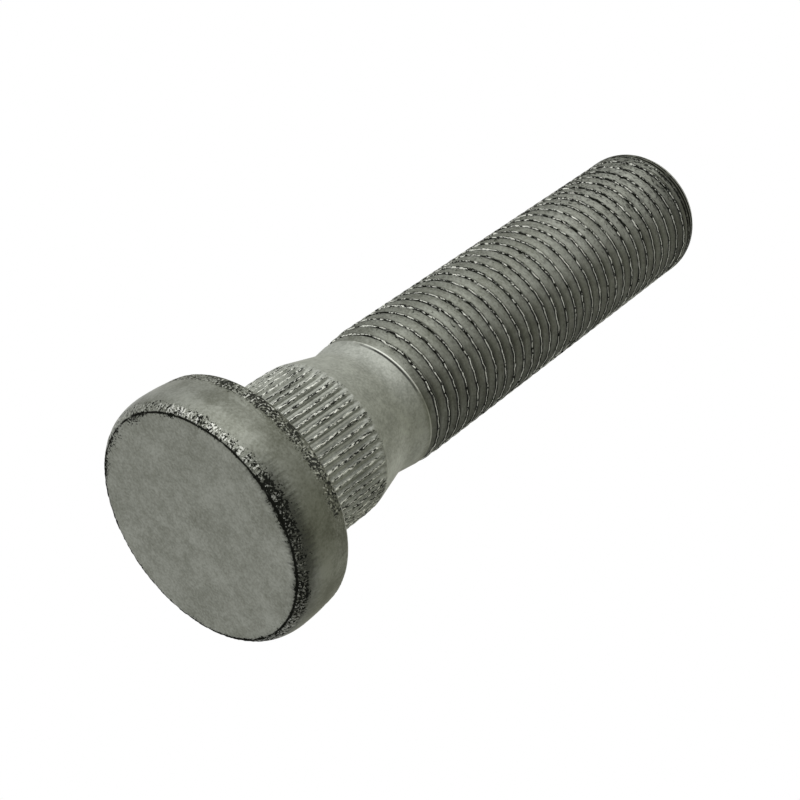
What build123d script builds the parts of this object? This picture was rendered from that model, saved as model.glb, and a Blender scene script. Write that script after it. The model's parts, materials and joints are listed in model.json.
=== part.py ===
# Wheel stud: one forged piece, standing on its head, with its axis along +Z.
# The flat face of the head lies at z = 0 and the threaded end points up.
import os
from math import pi

from build123d import *

# Driving dimensions, in millimetres
overall_length = 71.0
thread_diameter = 14.0

# Head: a flat face, a soft edge, and a side that bows out and draws in again towards the seat
head_diameter = 23.5
head_height = 5.9
face_edge_width = 1.15
face_edge_height = 2.4
side_draw_in = 0.19
seat_rim_chamfer = 0.35
seat_corner_radius = 0.8

# Serrated shoulder: stands proud of the thread so that it grips the hub hole
shoulder_rise = 0.7
shoulder_length = 9.7
serration_count = 60
serration_depth = 0.32
serration_land = 0.24
serration_gap = 0.3

# Waist between the shoulder and the thread
taper_length = 5.0
waist_depth = 0.59
waist_blend = 4.0
runout_length = 4.6
runout_blend = 6.0

# Rounded tip that leads the nut on
tip_length = 2.1
tip_drop = 1.0

# Radii and heights that follow from them
head_radius = head_diameter / 2
face_radius = head_radius - face_edge_width
rim_radius = head_radius - side_draw_in
thread_radius = thread_diameter / 2
shoulder_radius = thread_radius + shoulder_rise
waist_radius = thread_radius - waist_depth
shoulder_top = head_height + shoulder_length
waist_height = shoulder_top + taper_length
thread_start = waist_height + runout_length
thread_end = overall_length - tip_length

with BuildPart() as wheel_stud:
    # The whole stud is turned from one half section
    with BuildSketch(Plane.XZ):
        with BuildLine():
            face = Line((0, 0), (face_radius, 0))
            edge = EllipticalCenterArc(
                (face_radius, face_edge_height), face_edge_width, face_edge_height, 270, arc_size=90
            )
            side = TangentArc(edge @ 1, (rim_radius, head_height - seat_rim_chamfer), tangent=edge % 1)
            shank = FilletPolyline(
                side @ 1,
                (rim_radius - seat_rim_chamfer, head_height),
                (shoulder_radius, head_height),
                (shoulder_radius, shoulder_top),
                (waist_radius, waist_height),
                (thread_radius, thread_start),
                (thread_radius, thread_end),
                radius=[0, seat_corner_radius, 0, waist_blend, runout_blend],
            )
            tip = TangentArc(shank @ 1, (thread_radius - tip_drop, overall_length), tangent=shank % 1)
            end = Line(tip @ 1, (0, overall_length))
            Line(end @ 1, face @ 0)
        make_face()
    revolve(axis=Axis.Z)

    # Straight V grooves leave the serrations standing, and run out on the taper
    serration_pitch = 2 * pi * shoulder_radius / serration_count
    groove_half_width = (serration_pitch - serration_land) / 2
    groove_bottom = head_height + seat_corner_radius + serration_gap
    with BuildSketch(Plane.XY.offset(groove_bottom)):
        with PolarLocations(shoulder_radius, serration_count):
            Polygon(
                (-serration_depth, 0),
                (0, -groove_half_width),
                (serration_depth, -groove_half_width),
                (serration_depth, groove_half_width),
                (0, groove_half_width),
                align=None,
            )
    extrude(amount=waist_height - groove_bottom, mode=Mode.SUBTRACT)

wheel_stud.part.label = "wheel_stud"

os.makedirs("parts", exist_ok=True)
export_step(wheel_stud.part, "parts/wheel_stud.step")
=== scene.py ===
# %% [markdown]
# # A coated wheel stud
#
# A wheel stud is pressed through a hub from behind. Its head stops it, its ribs keep it from turning, and
# the wheel nut runs on its long thread. It is forged and rolled from one bar of steel and then coated, so
# the whole object is one piece with one finish.
#
# This lesson loads the measured solid and builds a richer skin in the same place: true ribs, a true
# thread with its rolled crests, and a matt, speckled coating. All sizes are in metres. The stud stands on
# its head, with its axis along Z.

# %% Load the measured solid
import json
from math import asin, cos, pi, radians, sin
from types import SimpleNamespace

import bmesh
import bpy
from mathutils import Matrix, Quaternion, Vector


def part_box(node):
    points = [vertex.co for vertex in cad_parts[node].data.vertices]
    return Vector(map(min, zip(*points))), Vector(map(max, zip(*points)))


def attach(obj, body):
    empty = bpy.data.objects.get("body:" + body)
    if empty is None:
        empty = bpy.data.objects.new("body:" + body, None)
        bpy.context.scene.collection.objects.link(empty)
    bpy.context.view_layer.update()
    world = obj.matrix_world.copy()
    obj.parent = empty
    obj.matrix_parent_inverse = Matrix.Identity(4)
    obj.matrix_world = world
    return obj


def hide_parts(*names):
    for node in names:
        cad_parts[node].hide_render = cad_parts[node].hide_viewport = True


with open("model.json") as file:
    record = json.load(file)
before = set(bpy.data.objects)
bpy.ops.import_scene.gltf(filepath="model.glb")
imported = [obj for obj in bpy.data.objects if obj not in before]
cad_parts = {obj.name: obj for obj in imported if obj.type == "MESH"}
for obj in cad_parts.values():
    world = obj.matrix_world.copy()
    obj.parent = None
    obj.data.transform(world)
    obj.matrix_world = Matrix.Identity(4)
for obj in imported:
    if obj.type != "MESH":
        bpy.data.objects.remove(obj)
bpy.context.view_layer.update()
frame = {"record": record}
bpy.context.scene.view_settings.view_transform = "Standard"

MM = 0.001
solid_low, solid_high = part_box("wheel_stud")
mounts = {mount["name"]: mount for mount in frame["record"]["mounts"]}
head_radius = min(solid_high.x, solid_high.y)
stud_length = solid_high.z
seat_height = mounts["seat_face"]["pos_m"][2]
thread_radius = mounts["thread"]["dims"]["r_mm"] * MM
print(f"stud {solid_low.z / MM:.1f} to {stud_length / MM:.1f} mm, head radius {head_radius / MM:.2f} mm")

# %% [markdown]
# ## Formulas as nodes
#
# Both the shape and the finish are made with node trees, and most of their nodes do plain arithmetic.
# Wiring each one by hand is long to write and hard to read. So this helper wraps the output of a node in
# a small object that can add, subtract, multiply and divide: `radius - depth * tooth` then places two
# nodes by itself.

# %% A wire that does arithmetic
class Wire:
    """The output of a node. Arithmetic on it adds Math nodes to the same tree."""

    def __init__(self, tree, socket):
        self.tree = tree
        self.socket = socket

    def math(self, operation, *others):
        return place(self.tree, "ShaderNodeMath", self, *others, operation=operation)

    def whole(self, operation, other):
        return place(self.tree, "FunctionNodeIntegerMath", self, other, operation=operation)

    def output(self, name):
        return Wire(self.tree, self.socket.node.outputs[name])

    def smooth(self, start, end):
        """0 before start, 1 after end, and a soft step between them."""
        return place(self.tree, "ShaderNodeMapRange", self, start, end, interpolation_type="SMOOTHSTEP")

    def __add__(self, other):
        return self.math("ADD", other)

    def __sub__(self, other):
        return self.math("SUBTRACT", other)

    def __rsub__(self, other):
        return place(self.tree, "ShaderNodeMath", other, self, operation="SUBTRACT")

    def __mul__(self, other):
        return self.math("MULTIPLY", other)

    def __truediv__(self, other):
        return self.math("DIVIDE", other)

    def __rtruediv__(self, other):
        return place(self.tree, "ShaderNodeMath", other, self, operation="DIVIDE")

    __radd__ = __add__
    __rmul__ = __mul__


def place(tree, kind, *values, named=None, **settings):
    """Adds a node, sets its properties, fills its inputs in order or by name, and gives its first output."""
    node = tree.nodes.new(kind)
    for name, value in settings.items():
        setattr(node, name, value)
    sockets = [socket for socket in node.inputs if socket.enabled]
    filled = list(zip(sockets, values))
    filled += [(node.inputs[name], value) for name, value in (named or {}).items()]
    for socket, value in filled:
        if isinstance(value, Wire):
            tree.links.new(value.socket, socket)
        elif value is not None:
            socket.default_value = value
    return Wire(tree, next(socket for socket in node.outputs if socket.enabled))


def new_group(name, kind, inputs, outputs):
    """Makes a node group. Gives the tree, its inputs as wires, and a function that connects its outputs."""
    tree = bpy.data.node_groups.new(name, kind)
    for in_out, sockets in (("INPUT", inputs), ("OUTPUT", outputs)):
        for label, socket_kind in sockets.items():
            tree.interface.new_socket(label, in_out=in_out, socket_type="NodeSocket" + socket_kind)
    entry = tree.nodes.new("NodeGroupInput")
    leave = tree.nodes.new("NodeGroupOutput")
    given = {label: Wire(tree, entry.outputs[label]) for label in inputs}

    def connect(**wires):
        for label, wire in wires.items():
            tree.links.new(wire.socket, leave.inputs[label])

    return tree, given, connect


noise_seeds = {"cloud": 1.0, "blotch": 2.0, "grain": 3.0, "tear": 3.0, "fleck": 4.0, "patch": 5.0,
               "wander": 6.0, "stroke": 7.0, "streak": 8.0, "speckle": 9.0}


def floats(*labels):
    """Sockets of a group that are plain numbers."""
    return dict.fromkeys(labels, "Float")


def noise(vector, size, name, detail=2.0, harshness=0.5):
    """Smooth random values from 0 to 1, with blots of about the given size. The name chooses the seed."""
    return place(
        vector.tree, "ShaderNodeTexNoise", noise_dimensions="4D",
        named={"Vector": vector, "W": noise_seeds[name], "Scale": 1.0 / size, "Detail": detail,
               "Roughness": harshness},
    )


def stretched(position, size):
    """A position counted in blots, which may be longer along the axis or round it."""
    across, along = size
    scale = (1 / across, 1 / across, 1 / along)
    return place(position.tree, "ShaderNodeVectorMath", position, scale, operation="MULTIPLY")


def split(position):
    """The x, the y, the height and the radius of a position."""
    x = place(position.tree, "ShaderNodeSeparateXYZ", position)
    y = x.output("Y")
    return x, y, x.output("Z"), (x * x + y * y).math("SQRT")


print(f"{len(noise_seeds)} noises to come")

# %% [markdown]
# ## The half section
#
# Head, shoulder and neck are round about one axis, so one half section holds their whole shape. Modelling
# them as a stack of cylinders would leave hard joints. A list of points from the middle of the face, out
# over the edge, up the side and along the neck is shorter, and a tree can spin it later.
#
# Each point also carries two marks for the finish, from 0 to 1. The forging die leaves the flat faces
# smooth but tears the skin on the two tight edges of the head, which is the edge mark. The hollow mark
# darkens places that hold dirt and where shade falls, such as the fine line round the face, so it is partly
# dirt and partly painted shade.

# %% Head, shoulder and neck
face_edge_width = 1.15 * MM
face_edge_height = 2.4 * MM
face_line_inset = 0.95 * MM
face_line_width = 0.16 * MM
face_line_depth = 0.06 * MM
side_draw_in = 0.19 * MM
seat_rim_round = 0.35 * MM
seat_corner_round = 0.8 * MM
shoulder_radius = thread_radius + 0.7 * MM
shoulder_top = seat_height + 9.7 * MM
shoulder_blend = 1.6 * MM
waist_radius = thread_radius - 0.59 * MM
waist_height = shoulder_top + 5.0 * MM
waist_blend = 1.6 * MM
thread_start = waist_height + 4.6 * MM
thread_foot = waist_height + 1.4 * MM

# Torn skin: where it ends on the front edge and starts on the rear rim, and over what length it grows
front_tear_end = 1.25 * MM
front_tear_fade = 0.6 * MM
rear_tear_start = 3.7 * MM
rear_tear_fade = 0.8 * MM

# How much weaker it gets over the round of the rear rim, and how weak it is on the seat
rim_tear_drop = 0.7
seat_tear = 0.1

# Rows beside and in the face's line: how far inside it each lies, its depth, and its edge and hollow marks.
# The hollow mark in the line is painted shade in its shallow groove.
face_line_rows = (
    (0.45 * MM, 0.0, 0.5, 0.0),
    (face_line_width, 0.0, 0.65, 0.0),
    (0.0, face_line_depth, 0.9, 0.8),
)

# How many points each stretch of the section gets, and where those of the face lie
face_shares = (0.0, 0.4, 0.8, 0.9)
edge_steps = 13
side_steps = 10
seat_steps = 2
round_steps = 4
shoulder_steps = 22
neck_steps = 20


def after_corner(distance, blend):
    """0 before a corner, the distance after it, and a smooth curve over the blend between them."""
    if abs(distance) < blend / 2:
        return (distance + blend / 2) ** 2 / (2 * blend)
    return max(distance, 0.0)


def shank_radius(height):
    """The radius of the shoulder, of the taper behind it and of the slope that leads up to the thread."""
    taper = (waist_radius - shoulder_radius) / (waist_height - shoulder_top)
    slope = (thread_radius - waist_radius) / (thread_start - waist_height)
    drop = taper * after_corner(height - shoulder_top, shoulder_blend)
    return shoulder_radius + drop + (slope - taper) * after_corner(height - waist_height, waist_blend)


def spread(start, end, count):
    """Even steps from a start to an end, without the start."""
    return [start + (end - start) * (step / count) for step in range(1, count + 1)]


def held(value):
    """A value held between 0 and 1."""
    return min(1.0, max(0.0, value))


def half_section():
    """Points (radius, height, edge, hollow) from the middle of the face to the foot of the thread."""
    line_radius = head_radius - face_line_inset
    rim_radius = head_radius - side_draw_in
    rim_height = seat_height - seat_rim_round
    corner_radius = shoulder_radius + seat_corner_round
    corner_height = seat_height + seat_corner_round

    # Flat face, with a fine die line round it
    points = [(line_radius * share, 0.0, 0.0, 0.0) for share in face_shares]
    points += [(line_radius - inset, depth, edge, hollow) for inset, depth, edge, hollow in face_line_rows]

    # Oval edge, torn near the face and smooth where it meets the side
    line_turn = asin((line_radius + face_line_width - head_radius + face_edge_width) / face_edge_width)
    for turn in [line_turn] + spread(line_turn, pi / 2, edge_steps):
        height = face_edge_height * (1 - cos(turn))
        edge = held((front_tear_end - height) / front_tear_fade)
        points.append((head_radius - face_edge_width * (1 - sin(turn)), height, edge, 0.0))

    # Side that draws in towards the seat, and its torn rear rim
    for share in spread(0.0, 1.0, side_steps):
        height = face_edge_height + (rim_height - face_edge_height) * share
        edge = held((height - rear_tear_start) / rear_tear_fade)
        points.append((head_radius - side_draw_in * share ** 2, height, edge, 0.0))
    for share in spread(0.0, 1.0, round_steps):
        turn = pi / 2 * share
        height = rim_height + seat_rim_round * sin(turn)
        edge = 1.0 - rim_tear_drop * share
        points.append((rim_radius - seat_rim_round * (1 - cos(turn)), height, edge, 0.0))

    # Seat face and the round corner behind it
    for radius in spread(rim_radius - seat_rim_round, corner_radius, seat_steps):
        points.append((radius, seat_height, seat_tear, 0.0))
    for turn in spread(0.0, pi / 2, round_steps):
        radius = corner_radius - seat_corner_round * sin(turn)
        points.append((radius, corner_height - seat_corner_round * cos(turn), 0.0, 0.0))

    # Shoulder, taper and neck
    heights = spread(corner_height, shoulder_top, shoulder_steps)
    heights += spread(shoulder_top, thread_foot, neck_steps)
    return points + [(shank_radius(height), height, 0.0, 0.0) for height in heights]


def add_object(name, data):
    """Puts an object into the scene."""
    made = bpy.data.objects.new(name, data)
    bpy.context.scene.collection.objects.link(made)
    return made


def section_object(name, points):
    """Keeps a half section as loose points of a mesh, with their marks."""
    radii, heights, edges, hollows = zip(*points)
    mesh = bpy.data.meshes.new(name)
    mesh.from_pydata([(radius, 0.0, height) for radius, height in zip(radii, heights)], [], [])
    for mark, values in (("edge", edges), ("hollow", hollows)):
        mesh.attributes.new(mark, "FLOAT", "POINT").data.foreach_set("value", values)
    print(f"{name} of {len(points)} points")
    return add_object(name, mesh)


stud = section_object("stud_body", half_section())

# %% [markdown]
# ## The tip
#
# The end of the stud is a second half section, from the last turn of the thread to the middle of the end
# face. A shallow groove ends the thread, and then the skin bends inwards on an arc that leads the nut on.
# Two fine lines run round the arc. They aren't cut into the shape but are painted shade of fine grooves,
# so rows of points with a strong hollow mark are enough for them.

# %% The tip's own section
tip_length = 2.1 * MM
tip_drop = 1.0 * MM
tip_height = stud_length - tip_length
tip_round = (tip_length ** 2 + tip_drop ** 2) / (2 * tip_drop)
end_height = stud_length - 0.005 * MM
end_radius = thread_radius - tip_drop - 0.2 * MM
tip_steps = 4

# Rows of the groove: how far each lies below the tip, its depth, and its edge and hollow marks
groove_rows = (
    (0.4 * MM, 0.0, 0.8, 0.5),
    (0.3 * MM, 0.0, 1.0, 0.6),
    (0.18 * MM, 0.12 * MM, 1.0, 0.7),
    (0.05 * MM, 0.01 * MM, 1.0, 0.3),
)
thread_end = tip_height - groove_rows[0][0]

# Where each fine line starts and ends above the foot of the tip
tip_lines = ((0.1 * MM, 0.38 * MM), (0.6 * MM, 0.9 * MM))
tip_line_blend = 0.06 * MM
last_line_end = tip_lines[-1][1] + tip_line_blend
# How dark the painted shade of the fine lines is, and the hollow mark of the rest of the tip
painted_line_shade = 0.7
clean = 0.1
tip_tear = 0.3
end_tear = 0.2


def tip_radius(rise):
    """The radius of the round tip at a height above its foot."""
    return thread_radius - tip_round + (tip_round ** 2 - rise ** 2) ** 0.5


def tip_section():
    """Points like those above, from the end of the thread to the middle of the end face."""
    points = [(thread_radius - depth, tip_height - below, edge, hollow)
              for below, depth, edge, hollow in groove_rows]
    for line_start, line_end in tip_lines:
        rises = (line_start - tip_line_blend, line_start, line_end, line_end + tip_line_blend)
        for rise, hollow in zip(rises, (clean, painted_line_shade, painted_line_shade, clean)):
            points.append((tip_radius(rise), tip_height + rise, tip_tear, hollow))
    for rise in spread(last_line_end, tip_length, tip_steps):
        points.append((tip_radius(rise), min(tip_height + rise, end_height), end_tear, clean))
    return points + [(end_radius, end_height, 0.0, 0.0), (0.0, end_height, 0.0, 0.0)]


tip = section_object("stud_tip", tip_section())

# %% [markdown]
# ## Spinning the section
#
# A Screw modifier could spin the section, but a node tree leaves the door open for the ribs. It lays out
# a flat grid with one row for each point of the section and one column for each step round the axis, and
# then wraps the grid: the column gives the angle, and the row gives the radius and the height. The two
# ends of the wrap lie on each other, and a later merge closes them.

# %% The turning tree
def polar_position(radius, angle, height):
    """A point given by its radius, its angle in radians and its height."""
    x = radius * angle.math("COSINE")
    y = radius * angle.math("SINE")
    return place(angle.tree, "ShaderNodeCombineXYZ", x, y, height)


def store(geometry, name, value):
    """Keeps a value for each point of the mesh under a name that the finish can read."""
    values = (geometry, None, name, value)
    return place(geometry.tree, "GeometryNodeStoreNamedAttribute", *values, data_type="FLOAT")


def read(tree, name):
    """The value that each point of the mesh keeps under a name."""
    return place(tree, "GeometryNodeInputNamedAttribute", name, data_type="FLOAT")


def turning_group():
    inputs = {"Section": "Geometry", "Columns": "Int", "Thin Last": "Float"}
    tree, given, connect = new_group("turn_on_axis", "GeometryNodeTree", inputs, {"Turned": "Geometry"})
    section = given["Section"]
    columns = given["Columns"]
    rows = place(tree, "GeometryNodeAttributeDomainSize", section)
    grid = place(tree, "GeometryNodeMeshGrid", 1.0, 1.0, columns + 1, rows)
    index = place(tree, "GeometryNodeInputIndex")
    column = index.whole("DIVIDE_FLOOR", rows)
    row = index.whole("MODULO", rows)

    # The last row may have half as many points, so that it meets the coarser thread
    last = row.math("GREATER_THAN", rows - 1.5) * given["Thin Last"]
    column = column - last * column.whole("MODULO", 2)

    position = place(tree, "GeometryNodeInputPosition")
    point = place(tree, "GeometryNodeSampleIndex", section, position, row, data_type="FLOAT_VECTOR")
    radius = place(tree, "ShaderNodeSeparateXYZ", point)
    wrapped = polar_position(radius, column * (2 * pi) / columns, radius.output("Z"))
    turned = place(tree, "GeometryNodeSetPosition", grid, None, wrapped)

    for mark in ("edge", "hollow"):
        sampled = place(tree, "GeometryNodeSampleIndex", section, read(tree, mark), row, data_type="FLOAT")
        turned = store(turned, mark, sampled)
    connect(Turned=turned)
    return tree


turning = turning_group()
print(f"turning tree of {len(turning.nodes)} nodes")

# %% [markdown]
# ## Ribs on the shoulder
#
# The ribs are what is left between straight grooves, and they run out where the taper falls below the
# bottom of the grooves. So a tree needs no separate ribs: it takes the smaller of two radii, that of the
# turned shape and that of a grooved cylinder. Rolling tears the tops of the ribs, so each point keeps a
# rib mark, which is 0 at the bottom of a groove and 1 on the top of a rib. The sides of the grooves get a
# hollow mark, which darkens them with dirt and with painted shade.

# %% The rib tree
rib_count = 60
rib_groove_depth = 0.28 * MM
rib_land = 0.26 * MM
rib_flank = 0.13 * MM
rib_gap = 0.3 * MM
rib_lead_in = 0.3 * MM
rib_flank_hollow = 0.8

# Distances from the top of the shoulder: where the grooves fade, the rib marks fade and the tree stops
groove_fade = 0.5 * MM
groove_finish = 0.7 * MM
rib_mark_fade = 0.2 * MM
rib_mark_finish = 0.9 * MM
rib_reach = 1.0 * MM


def rib_group():
    inputs = {"Turned": "Geometry", "Count": "Int"}
    inputs |= floats("Radius", "Depth", "Land", "Flank", "Bottom", "Top")
    tree, given, connect = new_group("press_ribs", "GeometryNodeTree", inputs, {"Ribbed": "Geometry"})
    bottom = given["Bottom"]
    top = given["Top"]
    x, y, height, radius = split(place(tree, "GeometryNodeInputPosition"))
    angle = y.math("ARCTAN2", x)

    # 0 in the middle of a groove and 0.5 in the middle of a rib
    offset = ((angle * given["Count"] / (2 * pi) + 0.5).math("FLOORED_MODULO", 1.0) - 0.5).math("ABSOLUTE")
    pitch = 2 * pi * given["Radius"] / given["Count"]
    half_groove = 0.5 - given["Land"] / pitch / 2
    groove = ((half_groove - offset) * pitch / given["Flank"]).math("MAXIMUM", 0.0).math("MINIMUM", 1.0)
    groove = groove * height.smooth(bottom, bottom + rib_lead_in)
    groove = groove * (1.0 - height.smooth(top - groove_fade, top + groove_finish))
    grooved = (given["Radius"] - groove * given["Depth"]).math("MINIMUM", radius)

    # Only the shoulder and its taper are grooved
    here = height.math("GREATER_THAN", bottom) * height.math("LESS_THAN", top + rib_reach)
    new_radius = radius + here * (grooved - radius)
    moved = place(tree, "GeometryNodeSetPosition", given["Turned"], None,
                  polar_position(new_radius, angle, height))
    proud = (new_radius - given["Radius"] + given["Depth"]) / given["Depth"]
    fade = 1.0 - height.smooth(top + rib_mark_fade, top + rib_mark_finish)
    ribbed = store(moved, "rib", here * fade * proud)
    # Dirt and painted shade on the sides of the grooves
    flank = here * groove * (1.0 - groove) * rib_flank_hollow
    connect(Ribbed=store(ribbed, "hollow", read(tree, "hollow") + flank))
    return tree


ribs = rib_group()
print(f"{rib_count} ribs, {2 * pi * shoulder_radius / rib_count / MM:.2f} mm apart")

# %% [markdown]
# ## The rolled thread
#
# A thread is one tooth that climbs a helix. A Screw modifier on a tooth profile is the quick way, but it
# can't run the thread out on the neck or end it at the tip. This tree wraps a grid again, and lets every
# row climb by one pitch in each turn. A row's place in the pitch says how deep it lies: on the crest, on
# a flank or in the root.
#
# Rolling pushes metal up from both sides until the two folds nearly meet, which leaves a ragged seam
# along the crest. That seam is the broken line that shows on every turn, so the crest has two low rows
# between three high ones, and noise lets them wander along the axis. Each row has three marks for the
# finish: crest where the skin is torn, hollow in the seam, which darkens it with dirt and painted shade,
# and root at the foot of the tooth, which darkens the roots on the low side with painted shade.

# %% The thread tree
thread_pitch = 1.5 * MM
thread_depth = 0.5 * MM
turns_below_foot = 2.0
spare_turns = 4

# The height of the first crest on the front, which is three quarters of a turn round
first_crest = 24.13 * MM
front_share = 0.75

# The thread starts on a crisp edge that runs round the neck a little askew
runout_height = 23.15 * MM
runout_tilt = 0.48 * MM
runout_angle = radians(-85)
runout_step = 0.08 * MM
runout_step_share = 0.85
runout_reach = 2.8 * MM
torn_start = 0.1 * MM
torn_full = 0.5 * MM
end_fade = 0.5 * MM
wander_change = 3.0

# Each row of the tooth: its place in the pitch, its depth, and its crest, hollow and root marks
tooth_rows = (
    (-0.2, 0.82, 0.25, 0.0, 0.5),
    (-0.03, 0.3, 0.5, 0.2, 0.0),
    (0.03, 0.38, 1.0, 1.0, 0.0),
    (0.1, 0.04, 1.0, 0.0, 0.0),
    (0.16, 0.2, 0.8, 0.4, 0.3),
    (0.22, 0.04, 0.4, 0.0, 0.7),
    (0.5, 1.0, 0.1, 0.0, 1.0),
)


def pick(tree, step, values):
    """Gives the value that belongs to a whole number."""
    switch = tree.nodes.new("GeometryNodeIndexSwitch")
    switch.data_type = "FLOAT"
    for _ in values[2:]:
        switch.index_switch_items.new()
    tree.links.new(step.socket, switch.inputs["Index"])
    for number, value in enumerate(values):
        switch.inputs[number + 1].default_value = value
    return Wire(tree, switch.outputs[0])


def thread_group():
    inputs = {"Columns": "Int", "Turns": "Int"}
    inputs |= floats("Radius", "Pitch", "Depth", "Lead", "Foot", "Foot Radius", "Runout", "Tilt", "Start",
                     "End", "Wander", "Wander Length")
    tree, given, connect = new_group("roll_thread", "GeometryNodeTree", inputs, {"Thread": "Geometry"})
    turn_rows = len(tooth_rows)
    rows = given["Turns"] * turn_rows
    grid = place(tree, "GeometryNodeMeshGrid", 1.0, 1.0, given["Columns"] + 1, rows)
    index = place(tree, "GeometryNodeInputIndex")
    row = index.whole("MODULO", rows)
    step = row.whole("MODULO", turn_rows)
    turn = row.whole("DIVIDE_FLOOR", turn_rows)
    share = index.whole("DIVIDE_FLOOR", rows) / given["Columns"]
    places, depths, crests, hollows, roots = [pick(tree, step, values) for values in zip(*tooth_rows)]

    # Each row climbs the helix
    angle = share * (2 * pi)
    height = given["Foot"] + (turn + places + share + given["Lead"] - turns_below_foot) * given["Pitch"]

    # The folds on the crest wander a little along the axis, in another way on each turn
    spot = polar_position(given["Radius"], angle, (turn + share) * given["Pitch"] * wander_change)
    wander = noise(spot, given["Wander Length"], "wander") - 0.5
    height = height + wander * crests * given["Wander"]

    # All rows but the first stop at the edge on the neck, and all stop at the end of the thread
    runout = (angle - runout_angle).math("SINE") * given["Tilt"] + given["Runout"]
    lowest = given["Foot"] + (runout - given["Foot"]) * row.math("GREATER_THAN", 0.5)
    height = height.math("MAXIMUM", lowest).math("MINIMUM", given["End"])

    # The thread stands on a slope at its foot, and fades out at its end
    slope = place(tree, "ShaderNodeMapRange", height, given["Foot"], given["Start"], given["Foot Radius"],
                  given["Radius"])
    rise = height - runout
    cut = rise.smooth(0.0, runout_step) * runout_step_share
    cut = cut + rise.smooth(0.0, runout_reach) * (1.0 - runout_step_share)
    cut = cut * (1.0 - height.smooth(given["End"] - end_fade, given["End"]))
    radius = slope - cut * given["Depth"] * depths
    wrapped = polar_position(radius, angle, height)
    thread = place(tree, "GeometryNodeSetPosition", grid, None, wrapped)
    thread = store(thread, "crest", crests * rise.smooth(torn_start, torn_full))
    # The root mark only serves painted shade in the roots on the low side
    thread = store(thread, "root", roots * cut)
    connect(Thread=store(thread, "hollow", hollows * cut))
    return tree


rolled_thread = thread_group()
thread_turns = round((stud_length - thread_foot) / thread_pitch) + spare_turns
thread_lead = (first_crest - thread_foot) / thread_pitch - front_share
print(f"{thread_turns} turns of thread with a pitch of {thread_pitch / MM:.1f} mm")

# %% [markdown]
# ## Joining the stud
#
# The last tree spins the section, presses the ribs, rolls the thread and closes the end with the spun
# tip. Their edges fall on the same points, so one merge closes every seam. Then the torn places are
# pushed in a little by noise: the torn skin is real shape, not only paint. The tree's sizes are inputs,
# so that a modifier can set them.

# %% The stud's own tree
merge_distance = 0.002 * MM
stud_sizes = {
    "Columns": 480,
    "Rib Count": rib_count,
    "Rib Radius": shoulder_radius,
    "Rib Depth": rib_groove_depth,
    "Rib Land": rib_land,
    "Rib Flank": rib_flank,
    "Rib Bottom": seat_height + seat_corner_round + rib_gap,
    "Rib Top": shoulder_top,
    "Thread Columns": 240,
    "Thread Turns": thread_turns,
    "Thread Radius": thread_radius,
    "Thread Pitch": thread_pitch,
    "Thread Depth": thread_depth,
    "Thread Lead": thread_lead,
    "Thread Foot": thread_foot,
    "Thread Foot Radius": shank_radius(thread_foot),
    "Thread Runout": runout_height,
    "Thread Tilt": runout_tilt,
    "Thread Start": thread_start,
    "Thread End": thread_end,
    "Thread Wander": 0.45 * MM,
    "Thread Wander Length": 0.9 * MM,
    "Edge Tear": 0.05 * MM,
    "Rib Tear": 0.08 * MM,
    "Crest Tear": 0.09 * MM,
}

# How wide the torn blots are: across the axis and along it
tear_sizes = {"edge": (0.35 * MM, 0.35 * MM), "rib": (0.3 * MM, 0.9 * MM), "crest": (0.8 * MM, 0.25 * MM)}

# The noise where a blot begins and is full, and the same for the mark
tear_range = (0.35, 0.65)
torn_marks = (0.6, 1.0)


def stud_group():
    inputs = {"Section": "Geometry", "Tip": "Object", "Finish": "Material"}
    inputs |= {label: "Int" if isinstance(size, int) else "Float" for label, size in stud_sizes.items()}
    tree, given, connect = new_group("wheel_stud", "GeometryNodeTree", inputs, {"Stud": "Geometry"})

    def use(group, prefix, fixed):
        """Places a group. What isn't fixed comes from the stud's own inputs, whose names have a prefix."""
        labels = [item.name for item in group.interface.items_tree if item.in_out == "INPUT"]
        named = {label: given[prefix + label] for label in labels if label not in fixed}
        return place(tree, "GeometryNodeGroup", node_tree=group, named=named | fixed)

    turned = use(turning, "", {"Section": given["Section"], "Thin Last": 1.0})
    ribbed = use(ribs, "Rib ", {"Turned": turned})
    thread = use(rolled_thread, "Thread ", {})
    tip_points = place(tree, "GeometryNodeObjectInfo", given["Tip"]).output("Geometry")
    tip_turned = use(turning, "Thread ", {"Section": tip_points, "Thin Last": 0.0})

    join = tree.nodes.new("GeometryNodeJoinGeometry")
    for part in (ribbed, thread, tip_turned):
        tree.links.new(part.socket, join.inputs[0])
    whole = place(tree, "GeometryNodeMergeByDistance", Wire(tree, join.outputs[0]), None, merge_distance)
    position = place(tree, "GeometryNodeInputPosition")

    # Torn skin is pushed in along the normal, in blots that follow the ribs and the thread
    push = 0.0
    for mark, size in tear_sizes.items():
        blot = noise(stretched(position, size), 1.0, "tear").smooth(*tear_range)
        torn = read(tree, mark).smooth(*torn_marks)
        push = push - blot * torn * given[mark.title() + " Tear"]
    normal = place(tree, "GeometryNodeInputNormal")
    offset = place(tree, "ShaderNodeVectorMath", named={0: normal, "Scale": push}, operation="SCALE")
    whole = place(tree, "GeometryNodeSetPosition", whole, None, None, offset)
    whole = place(tree, "GeometryNodeSetShadeSmooth", whole)
    whole = place(tree, "GeometryNodeRealizeInstances", whole)
    connect(Stud=place(tree, "GeometryNodeSetMaterial", whole, None, given["Finish"]))
    return tree


stud_tree = stud_group()
print(f"stud tree of {len(stud_tree.nodes)} nodes and {len(stud_sizes)} sizes")

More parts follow.
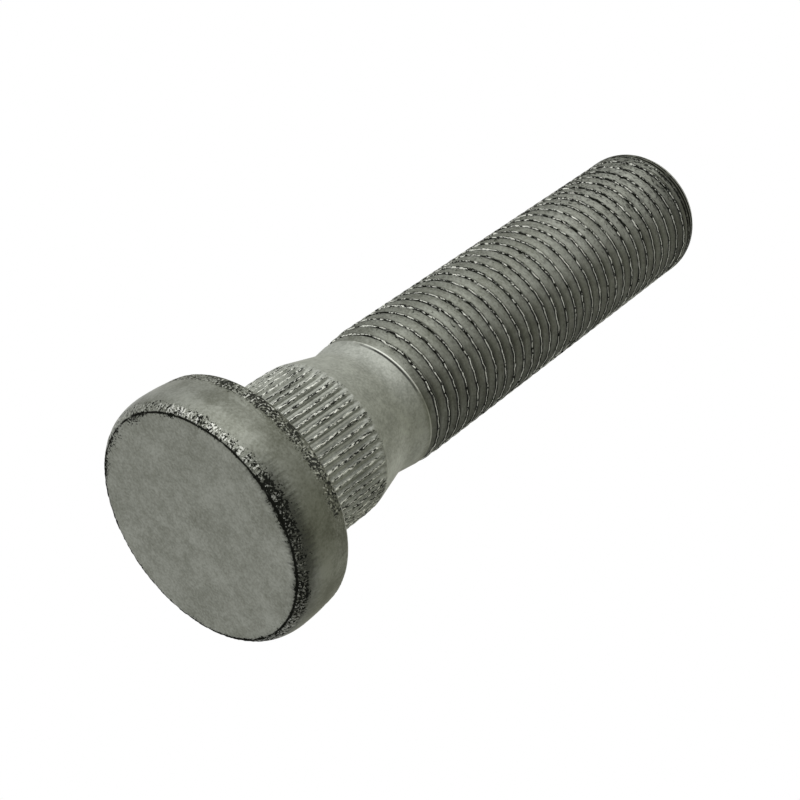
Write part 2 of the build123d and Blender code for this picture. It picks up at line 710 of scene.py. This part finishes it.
# %% [markdown]
# ## Pits and flecks
#
# On torn edges, rib tops and thread crests the coating is broken into dark pits and bright flecks. All
# three need the same pattern at other sizes, so it is a node group that the finish places three times.
# One noise decides both: where it is low there is a pit, and where it is high a fleck shines. A weak mark
# moves both limits away, so the specks thin out towards smooth skin, and soot and painted shade make more
# pits and fewer flecks.

# %% The broken skin group
fleck_sizes = {"edge": (0.2 * MM, 0.2 * MM), "rib": (0.12 * MM, 0.45 * MM), "crest": (0.48 * MM, 0.14 * MM)}
patch_size = 9.0
patch_share = 0.4
patch_detail = 1.0
fleck_detail = 3.0
fleck_harshness = 0.65

# How far the limits move where the mark is weak or soot lies, and how sharply specks and marks begin
weak_pits = 0.25
weak_flecks = 0.6
soot_and_shade_pits = 0.18
soot_and_shade_flecks = 0.12
speck_border = (-0.01, 0.04)
mark_border = (0.0, 0.2)


def broken_skin_group():
    inputs = {"Vector": "Vector"} | floats("Mark", "Pit Level", "Fleck Level", "Soot")
    outputs = floats("Pits", "Flecks", "Height")
    tree, given, connect = new_group("broken_skin", "ShaderNodeTree", inputs, outputs)
    mark = given["Mark"]
    soot = given["Soot"]
    grain = noise(given["Vector"], 1.0, "fleck", detail=fleck_detail, harshness=fleck_harshness)
    patch = noise(given["Vector"], patch_size, "patch", detail=patch_detail) - 0.5
    pit_limit = (mark - 1.0) * weak_pits + given["Pit Level"] + patch * patch_share + soot * soot_and_shade_pits
    fleck_limit = given["Fleck Level"] + soot * soot_and_shade_flecks - (mark - 1.0) * weak_flecks
    present = mark.smooth(*mark_border)
    pits = (pit_limit - grain).smooth(*speck_border)
    flecks = (grain - fleck_limit).smooth(*speck_border)
    connect(Pits=pits * present, Flecks=flecks * present, Height=mark * grain)
    return tree


broken_skin = broken_skin_group()
print(f"broken skin of {len(broken_skin.nodes)} nodes")

# %% [markdown]
# ## Where the wear, the painted light and the painted shade lie
#
# The stud isn't even all round. One side of the head's edge is darkened with painted shade, another side of
# the thread is grimy and darkened with painted shade, and a third is made lighter with painted light and
# darker in its hollows and roots with painted shade. An image would need an unwrapped mesh and would blur
# close up, so each kind of wear and of painted light gets a plain rule: which side of the stud it faces, and
# from what height or radius to what other it reaches. Noise makes the borders ragged.

# %% Sides and stretches of the stud
# Each side: the angle that it faces, in degrees, and the cosines where it begins and is full
sides = {
    # Painted shade on one side of the head's edge
    "scorch": (-66, 0.7, 1.0),
    "rim soot": (-112, 0.5, 0.9),
    "clean rim": (-15, 0.6, 0.87),
    "far soot": (75, 0.0, 0.6),
    "dull": (178, 0.6, 1.0),
    # Dirt and painted shade on one side of the thread
    "grime": (-135, 0.1, 0.9),
    # The low side of the thread: painted light and painted highlights, and painted shade in its hollows and
    # roots
    "low": (-48, 0.5, 0.97),
    "low end": (-48, 0.4, 0.9),
    # The painted highlight and painted dark line at the foot of the thread
    "low foot": (-48, 0.9, 1.0),
    "dark foot": (-107, 0.8, 0.98),
    "bright foot": (-107, 0.75, 1.0),
}

# Each step: the height or radius where it begins and where it is full, in millimetres
steps = {
    "face": (0.02, 0.12),
    "above line": (0.3, 0.6),
    "above far soot": (0.5, 1.0),
    "above scorch": (0.8, 2.2),
    "outside scorch": (10.1, 10.8),
    "outside far soot": (10.5, 10.8),
    "thread": (22, 25),
    "pale thread": (38, 62),
    "grime": (45, 66),
    "near end": (52, 66),
    "low end": (63, 69),
    "end": (65, 69),
}

# Each band: where it begins and is full, and where it starts to fade and ends, in millimetres
bands = {
    "side": (0.4, 1.5, 5.5, 6.5),
    "rear rim": (3.0, 3.5, 6.0, 7.0),
    "rim soot": (4.2, 4.7, 5.7, 5.9),
    "neck": (6.4, 7.2, 22.6, 23.4),
    "face line": (10.35, 10.75, 10.85, 11.0),
    "dark foot": (-0.46, -0.34, -0.22, -0.12),
    "bright foot": (-0.16, -0.1, 0.0, 0.1),
}
blotch_size = 1.0 * MM
blotch_detail = 3.0
stroke_count = 44.0
stroke_length = 1.5 * MM


def beyond(wire, name):
    """0 before a step and 1 after it."""
    start, full = steps[name]
    return wire.smooth(start * MM, full * MM)


def within(wire, name):
    """1 inside a band and 0 outside it."""
    start, full, fade, end = bands[name]
    return wire.smooth(start * MM, full * MM) * (1.0 - wire.smooth(fade * MM, end * MM))


def on_side(at, name, shift=0.0):
    """1 on one side of the stud and 0 away from it. A shift makes the border ragged."""
    degrees, start, full = sides[name]
    facing = at.east * cos(radians(degrees)) + at.north * sin(radians(degrees))
    return (facing + shift).smooth(start, full)


def skin_place(tree):
    """Where a point of the skin lies, with two noises that make borders ragged."""
    spot = place(tree, "ShaderNodeTexCoord").output("Object")
    x, y, height, radius = split(spot)
    at = SimpleNamespace(spot=spot, height=height, radius=radius, east=x / radius, north=y / radius)

    # Strokes run outwards on the face and upwards on the side
    strokes = (at.east * stroke_count, at.north * stroke_count, at.height / stroke_length)
    at.stroke = noise(place(tree, "ShaderNodeCombineXYZ", *strokes), 1.0, "stroke") - 0.5
    at.blotch = noise(spot, blotch_size, "blotch", detail=blotch_detail)
    at.ragged = at.blotch - 0.5
    return at


print(f"{len(sides)} sides, {len(steps)} steps and {len(bands)} bands")

# %% [markdown]
# ## The coating
#
# The steel is dipped in a paint full of thin metal flakes, which dries to a matt grey with a slight green
# cast. It lies in soft clouds with a fine grain, and it is paler on the shoulder and the neck. The finish
# starts from this even coat, and then mixes in one layer after another: painted shade on one side of the
# head's edge, rubbed skin and painted light, dirt and painted shade, pits and flecks, hollows darkened with
# dirt and painted shade, and a painted dark line and painted highlight at the foot of the thread.

# %% Layers of the coating
coat_dark = (0.13, 0.135, 0.108, 1.0)
coat_light = (0.27, 0.28, 0.245, 1.0)
neck_dark = (0.265, 0.275, 0.245, 1.0)
neck_light = (0.475, 0.49, 0.445, 1.0)
pit_and_shade_colour = (0.012, 0.013, 0.01, 1.0)
fleck_and_light_colour = (0.85, 0.86, 0.8, 1.0)

# The even coat: how large its patterns are, how much each counts, and the sums that give the two tones
cloud_size = 4.0 * MM
grain_size = 0.22 * MM
cloud_share = 0.35
blotch_share = 0.25
grain_share = 0.4
side_cloud_share = 0.4
tone_range = (0.3, 0.7)

# Soot and painted shade: how ragged their borders are, and how much each kind counts. The shade is painted
# on one side of the head's edge, in the face's line, and on the crests of the grimy side.
edge_shade_ragged = 0.25
edge_shade_stroke = 0.15
edge_shade_reach = 2 * MM
far_reach = 1 * MM
line_gaps = (-0.1, 0.15)
soot_and_shade_shares = {"scorch": 0.4, "line": 0.7, "far": 0.8, "rim": 0.28, "end": 0.4, "face": 0.7}
crest_soot_and_shade = 0.6

# Dirt and painted shade on the thread: its streaks and speckles, across the axis and along it, and how dark
# each kind is. The even film on the grimy side is painted shade.
streak_size = (1.2 * MM, 0.35 * MM)
speckle_size = (0.35 * MM, 0.12 * MM)
speckle_range = (0.48, 0.6)
speckle_marks = (0.05, 0.35)
streak_range = (0.5, 0.6)
grime_and_shade_base = 0.5
dirt_and_shade_shares = {"film": 0.05, "speckle": 0.5, "streak": 0.2, "low end": 0.3, "end": 0.15}
# Painted light: a paler coat on the low side of the thread; the coat is also rubbed paler towards the end
low_side_light = 0.07
rubbed_end = 0.06


def mix(share, first, second):
    """The first colour at a share of 0, and the second at 1."""
    return place(share.tree, "ShaderNodeMix", share, first, second, data_type="RGBA")


def mark(tree, name):
    """A mark that the trees stored on the mesh."""
    return place(tree, "ShaderNodeAttribute", attribute_name=name).output("Fac")


def even_coat(at, grain, neck):
    """Soft clouds, smaller blotches and a fine grain, paler on the shoulder and the neck."""
    cloud = noise(at.spot, cloud_size, "cloud")
    tone = cloud * cloud_share + at.blotch * blotch_share + grain * grain_share
    tone = tone + (cloud - 0.5) * within(at.height, "side") * side_cloud_share
    tone = tone.smooth(*tone_range)
    head_coat = mix(tone, coat_dark, coat_light)
    neck_coat = mix(tone, neck_dark, neck_light)
    return mix(neck, head_coat, neck_coat)


def wear_light_and_shade_at(at):
    """The kinds of wear, painted light and painted shade that more than one layer needs, from 0 to 1."""
    # Painted shade on one side of the head's edge, with ragged borders and strokes
    scorched = on_side(at, "scorch", at.ragged * edge_shade_ragged + at.stroke * edge_shade_stroke)
    reach = at.stroke * edge_shade_reach
    scorched = scorched * (1.0 - beyond(at.height + reach, "above scorch"))
    return SimpleNamespace(
        scorched=scorched * beyond(at.radius + reach, "outside scorch"),
        grimy_and_shaded=on_side(at, "grime") * (beyond(at.height, "grime") * (1.0 - grime_and_shade_base) + grime_and_shade_base),
        near_end=beyond(at.height, "near end"),
        low_side=on_side(at, "low"),
        dull=on_side(at, "dull"),
        rear_rim=within(at.height, "rear rim"),
    )


def edge_soot_and_shade(at, wear_light_and_shade):
    """Soot and painted shade in the torn skin of the head's edges and of the tip. The shade on one side of
    the edge, in the face's line and on the grimy side near the tip is painted.
    """
    line = within(at.radius, "face line") * (1.0 - beyond(at.height, "above line"))
    far = on_side(at, "far soot") * beyond(at.radius + at.stroke * far_reach, "outside far soot")
    kinds = {
        # Painted shade on one side of the edge and in the face's line
        "scorch": wear_light_and_shade.scorched,
        "line": line * at.ragged.smooth(*line_gaps),
        "far": far * (1.0 - beyond(at.height, "above far soot")),
        "rim": on_side(at, "rim soot") * within(at.height, "rim soot"),
        "end": wear_light_and_shade.grimy_and_shaded * wear_light_and_shade.near_end,
        "face": wear_light_and_shade.dull * (1.0 - beyond(at.height, "face")),
    }
    return sum(wire * soot_and_shade_shares[name] for name, wire in kinds.items())


def thread_dirt_and_shade(tree, at, wear_light_and_shade, streak):
    """Dirt in speckles on the grimy side of the thread and in streaks near its end, with an even film of
    painted shade on that side.
    """
    speckle = noise(stretched(at.spot, speckle_size), 1.0, "speckle").smooth(*speckle_range)
    speckle = speckle * mark(tree, "crest").smooth(*speckle_marks)
    film = speckle * dirt_and_shade_shares["speckle"] + dirt_and_shade_shares["film"]
    dirt = wear_light_and_shade.grimy_and_shaded * beyond(at.height, "thread") * film
    dirt = dirt + wear_light_and_shade.grimy_and_shaded * wear_light_and_shade.near_end * streak.smooth(*streak_range) * dirt_and_shade_shares["streak"]
    dirt = dirt + on_side(at, "low end") * beyond(at.height, "low end") * dirt_and_shade_shares["low end"]
    return dirt + beyond(at.height, "end") * dirt_and_shade_shares["end"]


print(f"{len(soot_and_shade_shares)} kinds of soot and {len(dirt_and_shade_shares)} of dirt")

# %% [markdown]
# ## The finish
#
# Now the layers go on. The flakes make the coat look like rough metal, but soot, dirt and painted shade
# don't: they have to stay dark at a flat angle too, where bare metal would shine. So the brightness of the
# colour decides what is metal.

# %% The finish of the stud
edge_shade_wash = 0.55
edge_shade_mark = 0.5
stroke_edge = 0.9
clean_rim_share = 0.7

# Pits and flecks: the noise below and above which they lie, how strongly they cover, and how high they stand
pit_levels = {"edge": 0.47, "rib": 0.5, "crest": 0.45}
fleck_levels = {"edge": 0.54, "rib": 0.51, "crest": 0.45}
# Painted highlights: more bright flecks on the crests of the low side
low_side_highlight_drop = 0.05
pit_share = 0.95
rear_pit_drop = 0.12
edge_fleck_share = 0.55
dull_fleck_drop = 0.6
# Fewer flecks in the painted shade on the head's edge
edge_shade_fleck_drop = 0.55
fleck_heights = {"edge": 1.5, "rib": 2.5, "crest": 2.5}
grain_height = 0.15
bump_strength = 0.8
bump_distance = 0.08 * MM

# Hollows, dark with dirt and painted shade: how much they hold everywhere, in dashes and on the low side,
# where painted shade darkens the roots too
hollow_base = 0.4
hollow_dash = 0.7
low_side_hollow_shade = 0.4
low_side_root_shade = 0.45
dash_range = (0.35, 0.6)
hollow_range = (0.15, 0.55)
hollow_share = 0.95

# The painted dark line and painted highlight at the foot of the thread, and how rough the coat is
foot_ragged = 0.3
dark_foot_share = 0.85
bright_foot_share = 0.6
low_foot_highlight = 0.35
coat_roughness = 0.45
neck_roughness = 0.15
crest_roughness = 0.35
metal_range = (0.05, 0.13)


def new_material(name):
    """An empty material and its tree."""
    material = bpy.data.materials.new(name)
    material.use_nodes = True
    material.node_tree.nodes.clear()
    return material, material.node_tree


def show(tree, kind, shader):
    """Connects a shader to the output of a material or a world."""
    output = tree.nodes.new("ShaderNodeOutput" + kind)
    tree.links.new(shader.socket, output.inputs["Surface"])


def foot_shade_and_highlight(at, colour):
    """Painted shade and a painted highlight: a dark line and a bright one beside the crisp edge where the
    thread starts.
    """
    askew = at.north * cos(runout_angle) - at.east * sin(runout_angle)
    rise = at.height - askew * runout_tilt - runout_height
    ragged = at.ragged * foot_ragged
    dark = within(rise, "dark foot") * on_side(at, "dark foot", ragged) * dark_foot_share
    colour = mix(dark, colour, pit_and_shade_colour)
    foot_highlight = on_side(at, "bright foot", ragged) * bright_foot_share + on_side(at, "low foot") * low_foot_highlight
    return mix(within(rise, "bright foot") * foot_highlight, colour, fleck_and_light_colour)


def coated_steel():
    material, tree = new_material("coated_steel")
    at = skin_place(tree)
    wear_light_and_shade = wear_light_and_shade_at(at)
    neck = within(at.height, "neck")
    grain = noise(at.spot, grain_size, "grain")
    streak = noise(stretched(at.spot, streak_size), 1.0, "streak")
    crest = mark(tree, "crest")

    # The even coat, darkened with painted shade on one side of the head's edge, made paler on the thread
    # with painted light on its low side and a rubbed coat towards its end, and dulled by dirt and painted
    # shade
    colour = even_coat(at, grain, neck)
    colour = mix(wear_light_and_shade.scorched * edge_shade_wash, colour, pit_and_shade_colour)
    rubbed_and_lit = wear_light_and_shade.low_side * beyond(at.height, "thread") * low_side_light
    rubbed_and_lit = rubbed_and_lit + beyond(at.height, "pale thread") * rubbed_end
    colour = mix(rubbed_and_lit, colour, fleck_and_light_colour)
    colour = mix(thread_dirt_and_shade(tree, at, wear_light_and_shade, streak), colour, pit_and_shade_colour)

    # Broken skin on the edges, the ribs and the thread
    clean_rim = on_side(at, "clean rim") * wear_light_and_shade.rear_rim * clean_rim_share
    edge = mark(tree, "edge") * (at.stroke * stroke_edge + 1.0) * (1.0 - clean_rim)
    # Where shade is painted on the head's edge, its skin is broken too
    edge = edge.math("MAXIMUM", wear_light_and_shade.scorched * edge_shade_mark)
    bright_edge = (1.0 - wear_light_and_shade.dull * dull_fleck_drop) * (1.0 - wear_light_and_shade.scorched * edge_shade_fleck_drop)
    marks = {"edge": edge, "rib": mark(tree, "rib"), "crest": crest}
    soot = {"edge": edge_soot_and_shade(at, wear_light_and_shade), "rib": 0.0, "crest": wear_light_and_shade.grimy_and_shaded * crest_soot_and_shade}
    # More bright flecks on the low side's crests are painted highlights
    levels = fleck_levels | {"crest": fleck_levels["crest"] - wear_light_and_shade.low_side * low_side_highlight_drop}
    pit_shares = {"edge": pit_share - wear_light_and_shade.rear_rim * rear_pit_drop, "rib": pit_share, "crest": pit_share}
    fleck_shares = {"edge": bright_edge * edge_fleck_share, "rib": 1.0, "crest": 1.0}
    relief = grain * grain_height
    for name, wire in marks.items():
        vector = stretched(at.spot, fleck_sizes[name])
        values = (vector, wire, pit_levels[name], levels[name], soot[name])
        skin = place(tree, "ShaderNodeGroup", *values, node_tree=broken_skin)
        colour = mix(skin * pit_shares[name], colour, pit_and_shade_colour)
        colour = mix(skin.output("Flecks") * fleck_shares[name], colour, fleck_and_light_colour)
        relief = relief + skin.output("Height") * fleck_heights[name]

    # Hollows are dark in dashes with dirt and painted shade, and a painted dark line and painted highlight
    # mark the foot of the thread
    hollow_dirt_and_shade = streak.smooth(*dash_range) * hollow_dash + wear_light_and_shade.low_side * low_side_hollow_shade + hollow_base
    hollow = mark(tree, "hollow") * hollow_dirt_and_shade + mark(tree, "root") * wear_light_and_shade.low_side * low_side_root_shade
    colour = mix(hollow.smooth(*hollow_range) * hollow_share, colour, pit_and_shade_colour)
    colour = foot_shade_and_highlight(at, colour)

    bump = {"Strength": bump_strength, "Distance": bump_distance, "Height": relief}
    surface = {
        "Base Color": colour,
        "Metallic": place(tree, "ShaderNodeRGBToBW", colour).smooth(*metal_range),
        "Roughness": neck * neck_roughness + crest * crest_roughness + coat_roughness,
        "Normal": place(tree, "ShaderNodeBump", named=bump),
        "Specular IOR Level": 0.0,
    }
    show(tree, "Material", place(tree, "ShaderNodeBsdfPrincipled", named=surface))
    return material


finish = coated_steel()
print(f"finish of {len(finish.node_tree.nodes)} nodes")

# %% [markdown]
# ## The finished mesh
#
# A modifier runs the stud's tree on the section. Each size is set by the identifier of its socket,
# because two sockets may share a name. The result takes the place of the section as a plain mesh, and the
# modifier goes. A closed mesh has no open edges, and its volume has to be a little less than that of the
# solid.

# %% Build the stud as a plain mesh
sharp_angle = radians(50)
modifier = stud.modifiers.new("wheel_stud", "NODES")
modifier.node_group = stud_tree
given_values = stud_sizes | {"Tip": tip, "Finish": finish}
for item in stud_tree.interface.items_tree:
    if item.name in given_values:
        modifier[item.identifier] = given_values[item.name]

evaluated = stud.evaluated_get(bpy.context.evaluated_depsgraph_get())
stud_mesh = bpy.data.meshes.new_from_object(evaluated)
stud.modifiers.remove(modifier)
stud.data = stud_mesh
bpy.data.objects.remove(tip)

shape = bmesh.new()
shape.from_mesh(stud_mesh)
bmesh.ops.recalc_face_normals(shape, faces=shape.faces)
open_edges = sum(not edge.is_manifold for edge in shape.edges)
triangles = sum(len(face.verts) - 2 for face in shape.faces)
print(f"{triangles} triangles, {open_edges} open edges, volume {shape.calc_volume() / MM ** 3:.0f} cubic mm")
shape.to_mesh(stud_mesh)
shape.free()
stud_mesh.shade_smooth()
stud_mesh.set_sharp_from_angle(angle=sharp_angle)

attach(stud, "root")
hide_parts("wheel_stud")

# %% [markdown]
# ## The camera
#
# The photograph looks up at the stud from below its head, and the camera leans over to one side, so that
# the stud runs from the lower left to the upper right. Place, aim, roll and lens are all read from the
# outline: the even pitch of the thread fixes how strongly the picture narrows with distance.

# %% Place the camera
camera_aim = Vector((1.24, 0.0, 26.41)) * MM
camera_reach = 166.2 * MM
camera_rise = radians(-41.04)
camera_roll = radians(54.04)
camera_lens = 80.55

camera_data = bpy.data.cameras.new("camera")
camera_data.lens = camera_lens
camera_data.clip_start = 10 * MM
camera = add_object("camera", camera_data)
towards_camera = Vector((0.0, -cos(camera_rise), sin(camera_rise)))
camera.location = camera_aim + towards_camera * camera_reach
camera.rotation_mode = "QUATERNION"
camera.rotation_quaternion = (-towards_camera).to_track_quat("-Z", "Y") @ Quaternion((0, 0, 1), camera_roll)
bpy.context.scene.camera = camera
print(f"camera at {[round(value / MM, 1) for value in camera.location]} mm")

# %% [markdown]
# ## Lamps and cards
#
# The main lamp shines from the top of the picture, a smaller one from the left lights the face of the
# head, and a third stands over the stud for the views from above. All three are large and soft. In a
# white room rough metal would look pale all round, so three dark cards give it something dark to reflect.
# Only reflections see them: they cast no shadow, and the camera doesn't see them.

# %% Lamps and cards
picture_right, picture_up, picture_back = camera.rotation_quaternion.to_matrix().col
stud_middle = Vector((0.0, 0.0, stud_length / 2))
lamp_distance = 480 * MM
card_distance = 500 * MM
card_blue_share = 0.8


def soft_lamp(name, direction, size, power):
    """A square soft lamp that shines on the middle of the stud."""
    data = bpy.data.lights.new(name, "AREA")
    data.size = size
    data.energy = power
    lamp = add_object(name, data)
    lamp.location = stud_middle + direction.normalized() * lamp_distance
    lamp.rotation_mode = "QUATERNION"
    lamp.rotation_quaternion = (-direction).to_track_quat("-Z", "Y")
    print(f"{name} of {power} W")


def hide_from(item, *rays):
    """Makes an object unseen by some kinds of rays."""
    for ray in rays:
        setattr(item, "visible_" + ray, False)


def dark_card(name, direction, width, height, shade):
    """A card that only reflections see. It faces the middle of the stud."""
    material, tree = new_material(name)
    show(tree, "Material", place(tree, "ShaderNodeEmission", (shade, shade, shade * card_blue_share, 1.0)))
    turn = direction.to_track_quat("Z", "Y")
    middle = stud_middle + direction.normalized() * card_distance
    mesh = bpy.data.meshes.new(name)
    corners = [(-width, -height), (width, -height), (width, height), (-width, height)]
    mesh.from_pydata([middle + turn @ Vector((x / 2, y / 2, 0.0)) for x, y in corners], [], [range(4)])
    mesh.materials.append(material)
    card = add_object(name, mesh)
    hide_from(card, "camera", "diffuse", "transmission", "shadow")
    print(f"{name} of {width} by {height} m")


from_left = picture_back * 0.78 + picture_up * 0.4 - picture_right * 0.48
from_above = picture_back * 0.47 + picture_up * 0.88
soft_lamp("left_light", from_left, size=0.19, power=0.345)
soft_lamp("main_light", from_above, size=0.55, power=0.96)
soft_lamp("top_light", Vector((0.2, 0.3, 1.0)), size=0.45, power=0.64)

in_front = picture_back * 0.68 - picture_up * 0.44 + picture_right * 0.59
on_right = picture_right * 0.7 + picture_up * 0.27 - picture_back * 0.66
from_below = picture_right * 0.06 - picture_up * 0.99 - picture_back * 0.14
dark_card("front_card", in_front, width=0.74, height=0.96, shade=0.25)
dark_card("right_card", on_right, width=1.58, height=1.34, shade=0.4)
dark_card("low_card", from_below, width=0.48, height=0.62, shade=0.08)

# %% [markdown]
# ## World and floor
#
# The world is white to the camera and in reflections, and softer where it lights the stud. The floor
# shows only from above: from below it lets the camera through, and its rim fades out, so that no edge
# shows.

# %% World and floor
white = (1.0, 1.0, 1.0, 1.0)
world_light = 0.35
floor_radius = 300 * MM
floor_drop = 0.02 * MM
floor_fade = (0.3 * floor_radius, 0.95 * floor_radius)
floor_corners = 64
floor_colour = (0.82, 0.82, 0.81, 1.0)


def studio_world():
    world = bpy.data.worlds.new("studio")
    world.use_nodes = True
    tree = world.node_tree
    tree.nodes.clear()
    path = place(tree, "ShaderNodeLightPath")
    shown = path.output("Is Camera Ray") + path.output("Is Glossy Ray") + path.output("Is Transmission Ray")
    lighting = place(tree, "ShaderNodeBackground", white, world_light)
    backdrop = place(tree, "ShaderNodeBackground", white, 1.0)
    show(tree, "World", place(tree, "ShaderNodeMixShader", shown.math("MINIMUM", 1.0), lighting, backdrop))
    return world


def floor_material():
    material, tree = new_material("pale_floor")
    spot = place(tree, "ShaderNodeTexCoord").output("Object")
    from_middle = place(tree, "ShaderNodeVectorMath", spot, operation="LENGTH")
    faded = from_middle.output("Value").smooth(*floor_fade)
    behind = place(tree, "ShaderNodeNewGeometry").output("Backfacing")
    pale = place(tree, "ShaderNodeBsdfDiffuse", floor_colour)
    clear = place(tree, "ShaderNodeBsdfTransparent")
    show(tree, "Material", place(tree, "ShaderNodeMixShader", faded.math("MAXIMUM", behind), pale, clear))
    return material


bpy.context.scene.world = studio_world()
floor_mesh = bpy.data.meshes.new("floor")
turns = [2 * pi * corner / floor_corners for corner in range(floor_corners)]
rim = [(floor_radius * cos(turn), floor_radius * sin(turn), -floor_drop) for turn in turns]
floor_mesh.from_pydata(rim, [], [range(floor_corners)])
floor_mesh.materials.append(floor_material())
floor = add_object("floor", floor_mesh)
hide_from(floor, "diffuse", "glossy", "transmission", "shadow")
print(f"floor {2 * floor_radius / MM:.0f} mm across")
